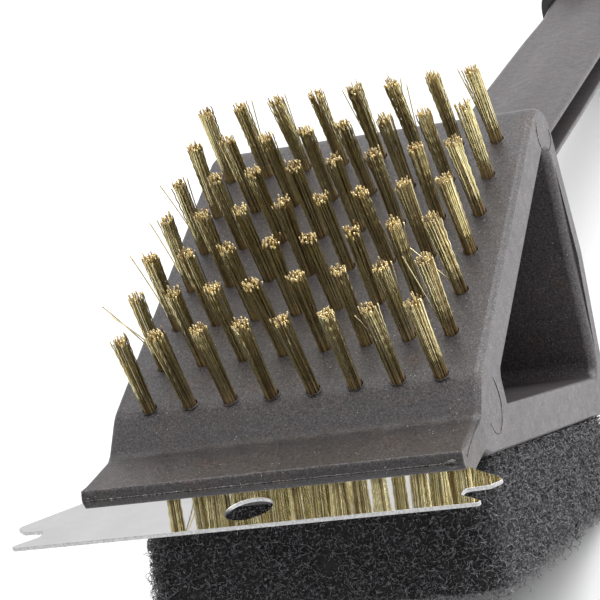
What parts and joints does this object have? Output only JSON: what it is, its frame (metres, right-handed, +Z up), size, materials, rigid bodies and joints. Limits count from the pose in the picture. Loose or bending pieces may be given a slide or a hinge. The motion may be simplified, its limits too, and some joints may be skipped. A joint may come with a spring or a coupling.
{
  "type": "grill cleaning brush",
  "caption": "Long-handled grill brush: brass wire tufts on a sloping hollow head, a forked steel scraper in front and a scouring pad underneath.",
  "frame": {"origin": "on the surface that the brush lies on, under the middle of its bounding box", "axes": "+X to the brush's right seen from the grip, +Y along the handle from the scraper towards the grip, +Z up, the bristle side"},
  "size_m": [0.0992, 0.4694, 0.1104],
  "materials": {
    "black_plastic": "fine grained charcoal polypropylene, slightly satin",
    "grip_plastic": "matte black",
    "stainless_steel": "polished, mirror-like, with a slightly duller cut edge",
    "brass_wire": "crimped wire, bright on its crests and brown between the wires",
    "pad_fibre": "coarse non-woven black fibre with light glints"
  },
  "bodies": {
    "root": {"head_and_neck": "black_plastic", "grip": "grip_plastic", "scraper_blade": "stainless_steel", "scouring_pad": "pad_fibre", "tuft_row1_col1": "brass_wire", "tuft_row1_col2": "brass_wire", "tuft_row1_col3": "brass_wire", "tuft_row1_col4": "brass_wire", "tuft_row1_col5": "brass_wire", "tuft_row1_col6": "brass_wire", "tuft_row1_col7": "brass_wire", "tuft_row1_col8": "brass_wire", "tuft_row2_col1": "brass_wire", "tuft_row2_col2": "brass_wire", "tuft_row2_col3": "brass_wire", "tuft_row2_col4": "brass_wire", "tuft_row2_col5": "brass_wire", "tuft_row2_col6": "brass_wire", "tuft_row2_col7": "brass_wire", "tuft_row2_col8": "brass_wire", "tuft_row3_col1": "brass_wire", "tuft_row3_col2": "brass_wire", "tuft_row3_col3": "brass_wire", "tuft_row3_col4": "brass_wire", "tuft_row3_col5": "brass_wire", "tuft_row3_col6": "brass_wire", "tuft_row3_col7": "brass_wire", "tuft_row3_col8": "brass_wire", "tuft_row4_col1": "brass_wire", "tuft_row4_col2": "brass_wire", "tuft_row4_col3": "brass_wire", "tuft_row4_col4": "brass_wire", "tuft_row4_col5": "brass_wire", "tuft_row4_col6": "brass_wire", "tuft_row4_col7": "brass_wire", "tuft_row4_col8": "brass_wire", "tuft_row5_col1": "brass_wire", "tuft_row5_col2": "brass_wire", "tuft_row5_col3": "brass_wire", "tuft_row5_col4": "brass_wire", "tuft_row5_col5": "brass_wire", "tuft_row5_col6": "brass_wire", "tuft_row5_col7": "brass_wire", "tuft_row5_col8": "brass_wire", "tuft_row6_col1": "brass_wire", "tuft_row6_col2": "brass_wire", "tuft_row6_col3": "brass_wire", "tuft_row6_col4": "brass_wire", "tuft_row6_col5": "brass_wire", "tuft_row6_col6": "brass_wire", "tuft_row6_col7": "brass_wire", "tuft_row6_col8": "brass_wire", "tuft_row7_col1": "brass_wire", "tuft_row7_col2": "brass_wire", "tuft_row7_col3": "brass_wire", "tuft_row7_col4": "brass_wire", "tuft_row7_col5": "brass_wire", "tuft_row7_col6": "brass_wire", "tuft_row7_col7": "brass_wire", "tuft_row7_col8": "brass_wire"}
  },
  "joints": []
}
